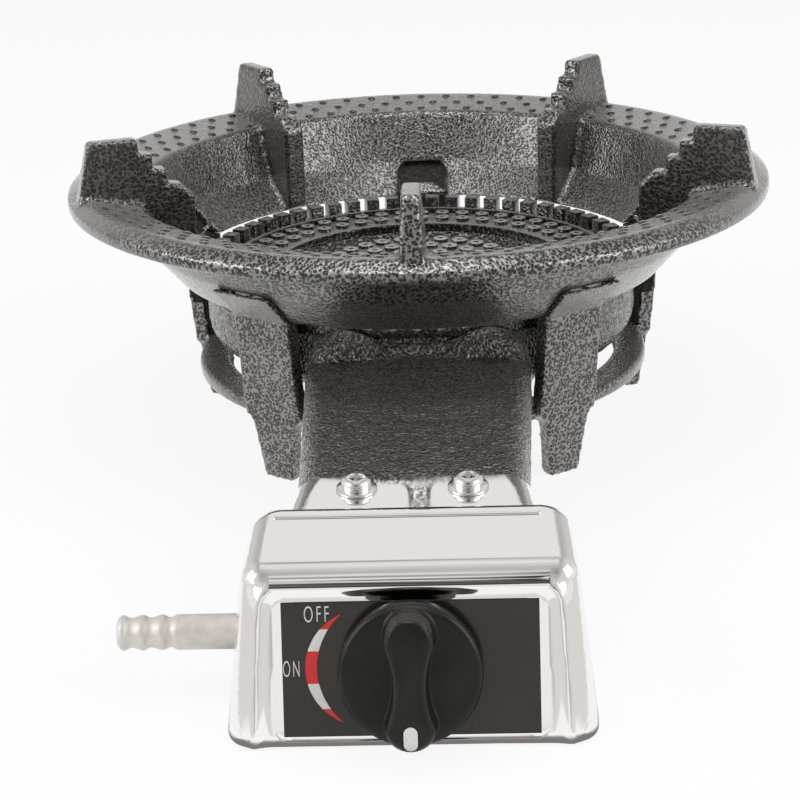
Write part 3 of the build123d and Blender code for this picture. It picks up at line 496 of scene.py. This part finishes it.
cover = copy_of(["control_cover"], "cover")
for upward in roll_cuts_up:
    cut(cover, panel @ Vector((0, upward / 1000, 0)), panel_up)
for across in roll_cuts_across:
    cut(cover, (across / 1000, 0, 0), panel_across)
    cut(cover, (-across / 1000, 0, 0), panel_across)
for height in curl_cuts:
    cut(cover, (0, 0, height), (0, 0, 1))
for vertex in cover.data.vertices:
    place = from_panel @ vertex.co
    front = share(place.z, *roll_front)
    rolled = panel_out * roll_at(place.x, place.y) * front
    low = min(max((curl_height - vertex.co.z) / curl_height, 0.0), 1.0)
    outside = front or abs(place.x) > curl_side[0]
    curl = curl_reach * (1 - math.sqrt(1 - low * low)) if outside else 0.0
    sideways = -math.copysign(share(abs(place.x), *curl_side), place.x)
    inward = Vector((sideways, share(place.z, *curl_front), 0))
    vertex.co = vertex.co + rolled + curl * inward
take_up(cover)
bpy.ops.object.shade_smooth_by_angle(angle=cover_crease)
applied(cover, "WEIGHTED_NORMAL", keep_sharp=True)
cover.data.materials.append(plating)
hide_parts("control_cover")
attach(cover, "stove")
bpy.ops.object.select_all(action="DESELECT")
bpy.ops.mesh.primitive_cube_add(size=1, location=(0, 0, 0))
bead = bpy.context.object
bead.name = "cover_bead"
bpy.ops.object.mode_set(mode="EDIT")
bpy.ops.mesh.select_all(action="SELECT")
bpy.ops.transform.resize(value=(bead_length, bead_width, bead_height), center_override=(0, 0, 0))
bpy.ops.mesh.bevel(offset=bead_height * 0.42, segments=3, affect="EDGES")
bpy.ops.object.mode_set(mode="OBJECT")
spot, tilt = cover.ray_cast(bead_above, (0, 0, -1))[1:3]
lay = Matrix((panel_across, tilt.cross(panel_across), tilt)).transposed().to_4x4()
lay.translation = spot
bead.data.transform(lay)
take_up(bead)
bpy.ops.object.shade_smooth_by_angle(angle=cover_crease)
bead.data.materials.append(plating)
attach(bead, "stove")


# Cover screws: two plated pan-head screws with plain washers, through the tongue into the arm. The
# other screws, the spring, the clip and the air shutters are of the same plated steel.
screw_edge = 0.0003
screw_metal, tree, shader, where = finish_named("screw_plating")
tree.links.new(varied(tree, where, 500.0, 3.0, (0.3, 0.8), (0.12, 0.3)), shader.inputs["Roughness"])
shader.inputs["Base Color"].default_value = (0.86, 0.845, 0.82, 1)
shader.inputs["Metallic"].default_value = 1.0


def dress(nodes, material):
    """Gives CAD nodes that are shown as they are a material."""
    for node in nodes:
        frame["nodes"][node].data.materials.clear()
        frame["nodes"][node].data.materials.append(material)


for node, name in (("cover_screws", "tongue_screws"), ("cover_washers", "tongue_washers")):
    screw = edged(node, name, "stove", screw_edge)
    screw.data.materials.append(screw_metal)
dress(("burner_bolts", "bonnet_screws", "valve_screws", "knob_clip", "plug_spring",
       "inner_air_shutter", "outer_air_shutter"), screw_metal)


# Dial plate: a thin plate in the panel's recess, printed dark, with the words ON and OFF and a red
# and white crescent to the left of the knob that shows which way the flame grows. The print is a thin
# raised layer of ink. The crescent's arcs and heights are in mm from the knob's axis.
dial_face = 0.0008
print_thick = 0.00006
word_height = 0.0049
crescent_outer = (-14.2, 0.35, 18.07)
crescent_inner = (-6.95, 0.35, 21.75)
crescent_splits = (16.9, 12.5, 5.8, -4.3, -12.1, -16.3)
crescent_steps = 10
dial_dark, tree, shader, where = finish_named("dial_dark")
color = mottled(tree, where, 35.0, 3.0, (0.3, 0.75), (0.012, 0.0112, 0.0095, 1),
                (0.018, 0.0165, 0.014, 1))
tree.links.new(color, shader.inputs["Base Color"])
tree.links.new(varied(tree, where, 1400.0, 2.0, (0.3, 0.7), (0.1, 0.2)), shader.inputs["Roughness"])
dress(("dial_plate",), dial_dark)


def ink(name, color):
    """Printing ink with a slight mottle."""
    material, tree, shader, where = finish_named(name)
    darker = tuple(0.86 * part for part in color[:3]) + (1,)
    tone = mottled(tree, where, 1800.0, 2.0, (0.3, 0.7), darker, color)
    tree.links.new(tone, shader.inputs["Base Color"])
    shader.inputs["Roughness"].default_value = 0.45
    return material


red_ink = ink("red_ink", (0.68, 0.03, 0.025, 1))
white_ink = ink("white_ink", (0.72, 0.72, 0.7, 1))


def crescent_band(name, upper, lower, material):
    """One coloured piece of the crescent, between two heights on its two arcs."""
    heights = [upper + (lower - upper) * step / crescent_steps
               for step in range(crescent_steps + 1)]
    rims = []
    for middle_x, middle_y, radius in (crescent_outer, crescent_inner):
        rims.append([(middle_x - math.sqrt(radius ** 2 - (y - middle_y) ** 2), y) for y in heights])
    outline = rims[0] + rims[1][::-1]
    bpy.ops.object.select_all(action="DESELECT")
    bpy.ops.mesh.primitive_circle_add(vertices=len(outline), fill_type="NGON", location=(0, 0, 0))
    band = bpy.context.object
    band.name = name
    for vertex, (x, y) in zip(band.data.vertices, outline):
        vertex.co = (x / 1000, y / 1000, dial_face)
    bpy.ops.object.mode_set(mode="EDIT")
    bpy.ops.mesh.select_all(action="SELECT")
    bpy.ops.mesh.extrude_region_move(TRANSFORM_OT_translate={"value": (0, 0, print_thick)})
    bpy.ops.mesh.select_all(action="SELECT")
    bpy.ops.mesh.normals_make_consistent(inside=False)
    bpy.ops.object.mode_set(mode="OBJECT")
    band.data.transform(panel)
    band.data.materials.append(material)
    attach(band, "stove")


for index, (upper, lower) in enumerate(zip(crescent_splits, crescent_splits[1:])):
    crescent_band(f"crescent_{index + 1}", upper, lower, white_ink if index % 2 else red_ink)


def printed_word(name, word, middle, width, height):
    """A printed word as a thin mesh on the dial."""
    bpy.ops.object.select_all(action="DESELECT")
    bpy.ops.object.text_add(location=(0, 0, 0))
    text = bpy.context.object
    text.data.body = word
    text.data.extrude = 1.0
    text.data.space_character = 1.35
    text.data.offset = -0.012
    bpy.ops.object.convert(target="MESH")
    text = bpy.context.object
    text.name = name
    corners = [vertex.co.copy() for vertex in text.data.vertices]
    low = Vector([min(corner[axis] for corner in corners) for axis in range(3)])
    high = Vector([max(corner[axis] for corner in corners) for axis in range(3)])
    size = high - low
    fit = Matrix.Diagonal((width / size.x, height / size.y, print_thick / size.z, 1))
    centre = Matrix.Translation((-(low.x + high.x) / 2, -(low.y + high.y) / 2, -low.z))
    place = Matrix.Translation((middle[0], middle[1], dial_face))
    text.data.transform(panel @ place @ fit @ centre)
    text.data.materials.append(white_ink)
    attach(text, "stove")


printed_word("word_off", "OFF", (-0.02845, 0.01725), 0.0076, word_height)
printed_word("word_on", "ON", (-0.03657, 0.00048), 0.0050, word_height)


# Knob: moulded black plastic with a waisted grip on a coned disc, and a white pointer let into the
# grip's lower end. Its edges are soft, the grip's top is crowned along its length and ends in an arch
# above. It pushes on to the valve's stem.
knob_grain, knob_soften, arch_soften = 0.00042, 22, 12
pointer_edge = 0.0002
arch_middle, arch_radius, arch_edge, arch_rate = 0.0128, 0.0063, 0.0076, 10.0
arch_facing = 0.2
grip_fall, grip_half = 0.0014, 0.02
grip_side, grip_skin = 0.012, 0.002
knob_plastic, tree, shader, where = finish_named("knob_plastic")
grain = noise(tree, where, 2400.0, 3.0)
color = mottled(tree, where, 90.0, 3.0, (0.35, 0.7), (0.008, 0.0082, 0.0072, 1),
                (0.012, 0.012, 0.0105, 1))
bump = add(tree, "Bump", None, Strength=0.03, Distance=0.0001, Height=grain)
tree.links.new(color, shader.inputs["Base Color"])
tree.links.new(eased(tree, grain, 0.3, 0.7, 0.24, 0.34), shader.inputs["Roughness"])
tree.links.new(bump.outputs["Normal"], shader.inputs["Normal"])
shader.inputs["Specular IOR Level"].default_value = 0.25


def rounded(node, name, body, grain, soften):
    """A node's own shape with all its edges melted soft."""
    piece = copy_of([node], name)
    skinned(piece, grain, soften)
    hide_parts(node)
    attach(piece, body)
    return piece


knob = rounded("control_knob", "knob", "knob", knob_grain, knob_soften)
knob.data.materials.append(knob_plastic)
pointer = edged("knob_pointer", "pointer", "knob", pointer_edge)
pointer.data.materials.append(white_ink)
grip_top = max((from_panel @ vertex.co).z for vertex in knob.data.vertices)
arch_lifts = []
for vertex in knob.data.vertices:
    place = from_panel @ vertex.co
    away = math.hypot(place.x, place.y - arch_middle)
    at_end = place.y > arch_middle and away < arch_edge and place.z > grip_top / 2
    if at_end and vertex.normal.dot(panel_out) > arch_facing:
        arched = grip_top - arch_rate * max(away - arch_radius, 0.0)
        arch_lifts.append((vertex, max(arched - place.z, 0.0)))
for vertex, lift in arch_lifts:
    vertex.co = vertex.co + panel_out * lift
skinned(knob, knob_grain, arch_soften)
for piece in (knob, pointer):
    for vertex in piece.data.vertices:
        place = from_panel @ vertex.co
        raised = share(place.z, grip_top - grip_side, grip_top - grip_skin)
        vertex.co = vertex.co - panel_out * grip_fall * raised * (place.y / grip_half) ** 2


# Hose barb: a turned fitting with rounded ridges at its tip, on which the gas hose is pushed. It is
# plated dull and screwed into the valve.
barb_grain, barb_soften = 0.0004, 6
barb_metal, tree, shader, where = finish_named("dull_plating")
color = mottled(tree, where, 320.0, 3.0, (0.3, 0.7), (0.66, 0.63, 0.605, 1), (0.74, 0.71, 0.685, 1))
bump = add(tree, "Bump", None, Strength=0.2, Distance=0.0002, Height=noise(tree, where, 1100.0))
tree.links.new(color, shader.inputs["Base Color"])
tree.links.new(varied(tree, where, 900.0, 3.0, (0.3, 0.7), (0.5, 0.62)), shader.inputs["Roughness"])
tree.links.new(bump.outputs["Normal"], shader.inputs["Normal"])
shader.inputs["Metallic"].default_value = 0.55
barb = rounded("hose_barb", "barb", "stove", barb_grain, barb_soften)
barb.data.materials.append(barb_metal)


# Gas valve: brass body, plug, stem, bonnet and jets under the cover, with black rubber seals. The
# brass is turned and milled, and only shows from behind and below.
brass, tree, shader, where = finish_named("machined_brass")
color = mottled(tree, where, 160.0, 3.0, (0.3, 0.7), (0.62, 0.44, 0.19, 1), (0.74, 0.56, 0.27, 1))
tree.links.new(color, shader.inputs["Base Color"])
tree.links.new(varied(tree, where, 1200.0, 2.0, (0.3, 0.7), (0.2, 0.38)), shader.inputs["Roughness"])
shader.inputs["Metallic"].default_value = 1.0
seal, tree, shader, where = finish_named("seal_rubber")
color = mottled(tree, where, 700.0, 3.0, (0.3, 0.7), (0.014, 0.014, 0.014, 1), (0.03, 0.03, 0.03, 1))
tree.links.new(color, shader.inputs["Base Color"])
shader.inputs["Roughness"].default_value = 0.6
dress(("valve_body", "valve_plug", "valve_stem", "valve_bonnet", "inner_jet", "outer_jet"), brass)
dress(("bonnet_gasket", "stem_seal", "inlet_washer"), seal)


# Floor: a wide pale sheet, near white to the camera, that keeps the stove's soft shadow. What the
# plating mirrors of it is greyer far off in front, and dark where the cover stands on it: a painted
# shadow of the cover's foot, seen only in reflections.
floor_size = 12
camera_share, mirror_share = 0.88, 0.97
far_widening, far_reach, far_tone = 0.9, (0.34, 0.46), (0.74, 0.72, 0.7, 1)
foot_half_width, foot_middle, foot_half_depth = 0.056, 0.185, 0.0276
foot_reach, foot_shadow_tone = (0.002, 0.014), (0.2, 0.19, 0.18, 1)
white = (1, 1, 1, 1)
bpy.ops.object.select_all(action="DESELECT")
bpy.ops.mesh.primitive_plane_add(size=floor_size, location=(0, 0, 0))
floor = bpy.context.object
floor.name = "floor"
floor_white, tree, shader, where = finish_named("floor_white")
shader.inputs["Base Color"].default_value = (0.86, 0.86, 0.86, 1)
shader.inputs["Roughness"].default_value = 0.9
shader.inputs["Specular IOR Level"].default_value = 0.0
rays = tree.nodes.new("ShaderNodeLightPath").outputs
mirrored = sum_of(tree, "MAXIMUM", rays["Is Glossy Ray"], rays["Is Transmission Ray"])
seen = sum_of(tree, "MAXIMUM", sum_of(tree, "MULTIPLY", rays["Is Camera Ray"], camera_share),
              sum_of(tree, "MULTIPLY", mirrored, mirror_share))
across, depth = add(tree, "SeparateXYZ", None, Vector=where).outputs[0:2]
aside = sum_of(tree, "ABSOLUTE", across, 0.0)
ahead = sum_of(tree, "SUBTRACT", sum_of(tree, "MULTIPLY", aside, far_widening), depth)
near = mixed(tree, eased(tree, ahead, *far_reach), white, far_tone)
# Painted shadow round the cover's foot, in what the plating mirrors of the floor.
along = sum_of(tree, "ABSOLUTE", sum_of(tree, "ADD", depth, foot_middle), 0.0)
foot_across = sum_of(tree, "SUBTRACT", aside, foot_half_width)
foot_along = sum_of(tree, "SUBTRACT", along, foot_half_depth)
clear = eased(tree, sum_of(tree, "MAXIMUM", foot_across, foot_along), *foot_reach)
near = mixed(tree, clear, foot_shadow_tone, near)
glow = add(tree, "Emission", None, Color=mixed(tree, rays["Is Camera Ray"], near, white),
           Strength=1.0)
blend = tree.nodes.new("ShaderNodeMixShader")
tree.links.new(seen, blend.inputs[0])
tree.links.new(shader.outputs["BSDF"], blend.inputs[1])
tree.links.new(glow.outputs["Emission"], blend.inputs[2])
tree.links.new(blend.outputs["Shader"], tree.nodes["Material Output"].inputs["Surface"])
floor.data.materials.append(floor_white)


# Room: white to the camera and an even grey as light. The plating mirrors a studio with bright and
# dark bands from the front wall over the ceiling to the back, as (place, level), and paler sides.
wall_stops = ((0.0, 0.93), (0.058, 0.92), (0.078, 0.04), (0.13, 0.06), (0.22, 0.18), (0.32, 0.36),
              (0.42, 0.55), (0.54, 0.84), (0.6, 0.8), (0.66, 0.42), (0.73, 0.84), (0.85, 0.85),
              (1.0, 0.87))
side_bands = ((0.16, 0.3, (0.5, 0.485, 0.47, 1)), (0.34, 0.6, (0.7, 0.69, 0.68, 1)),
              (0.75, 0.98, (0.86, 0.86, 0.86, 1)))
room_light = (0.4, 0.4, 0.4, 1)
world = bpy.data.worlds.new("white_room")
bpy.context.scene.world = world
world.use_nodes = True
tree = world.node_tree
rays = tree.nodes.new("ShaderNodeLightPath").outputs
toward = tree.nodes.new("ShaderNodeTexCoord").outputs["Generated"]
toward = add(tree, "SeparateXYZ", None, Vector=toward).outputs
turn = sum_of(tree, "ARCTAN2", toward["Z"], sum_of(tree, "MULTIPLY", toward["Y"], -1.0))
wall = add(tree, "ValToRGB", None, Fac=sum_of(tree, "DIVIDE", turn, math.pi))
for index, (place, level) in enumerate(wall_stops):
    if index in (0, len(wall_stops) - 1):
        stop = wall.color_ramp.elements[0 if index == 0 else -1]
        stop.position = place
    else:
        stop = wall.color_ramp.elements.new(place)
    stop.color = (level, level * (0.9 + 0.1 * level), level * (0.86 + 0.14 * level), 1)
aside = sum_of(tree, "ABSOLUTE", toward["X"], 0.0)
room = wall.outputs["Color"]
for begin, end, tone in side_bands:
    room = mixed(tree, eased(tree, aside, begin, end), room, tone)
mirrored = sum_of(tree, "MAXIMUM", rays["Is Glossy Ray"], rays["Is Transmission Ray"])
room = mixed(tree, mirrored, room_light, room)
room = mixed(tree, rays["Is Camera Ray"], room, white)
back = tree.nodes["Background"]
tree.links.new(room, back.inputs["Color"])
back.inputs["Strength"].default_value = 1.0


# Lamps: large soft lamps above and at both sides. Two smaller ones draw the glints in the hammered
# paint and on the knob, and are kept off the plated pieces, which would show them as hard stripes.
lamp_aim = (0, 0, 0.06)


def soft_lamp(name, place, size, power):
    """Square soft lamp that faces the stove."""
    lamp = bpy.data.lights.new(name, "AREA")
    lamp.shape = "SQUARE"
    lamp.size = size
    lamp.energy = power
    holder = bpy.data.objects.new(name, lamp)
    holder.location = place
    aim = Vector(lamp_aim) - Vector(place)
    holder.rotation_euler = aim.to_track_quat("-Z", "Y").to_euler()
    bpy.context.scene.collection.objects.link(holder)
    return holder


painted = bpy.data.collections.new("painted")
for piece in (upper_casting, rim_bumps, lower_casting, burner, port_ring, port_cap, sill, knob):
    painted.objects.link(piece)
lamp_above = soft_lamp("lamp_above", (0, -0.2, 1.3), 0.55, 4.2)
lamp_above.light_linking.receiver_collection = painted
lamp_glint = soft_lamp("lamp_glint", (0, -0.75, 1.1), 0.22, 3.0)
lamp_glint.light_linking.receiver_collection = painted
soft_lamp("lamp_fill", (0, -0.3, 1.5), 1.4, 9.0).visible_glossy = False
soft_lamp("lamp_left", (-1.2, -0.5, 0.8), 0.9, 9.0)
soft_lamp("lamp_right", (1.2, -0.5, 0.8), 0.9, 9.0)


# Camera: at the place, tilt and lens that the photograph's own lines give, a little to the right of
# the stove's middle and leaned slightly to one side.
camera_place = (0.01875, burner_y - 0.8998, 0.3311)
yaw, pitch, roll = math.radians(-1.85), math.radians(20.0), math.radians(-1.86)
camera_data = bpy.data.cameras.new("photo_camera")
camera_data.lens = 99.57
camera_data.sensor_width = 36.0
camera = bpy.data.objects.new("photo_camera", camera_data)
bpy.context.scene.collection.objects.link(camera)
level_forward = math.cos(pitch)
forward = Vector((math.sin(yaw) * level_forward, math.cos(yaw) * level_forward, -math.sin(pitch)))
right = Vector((math.cos(yaw), -math.sin(yaw), 0))
up = right.cross(forward)
rolled_right = right * math.cos(roll) + up * math.sin(roll)
rolled_up = up * math.cos(roll) - right * math.sin(roll)
aim = Matrix((rolled_right, rolled_up, -forward)).transposed().to_4x4()
camera.matrix_world = Matrix.Translation(camera_place) @ aim
bpy.context.scene.camera = camera
bpy.context.scene.view_settings.view_transform = "Standard"
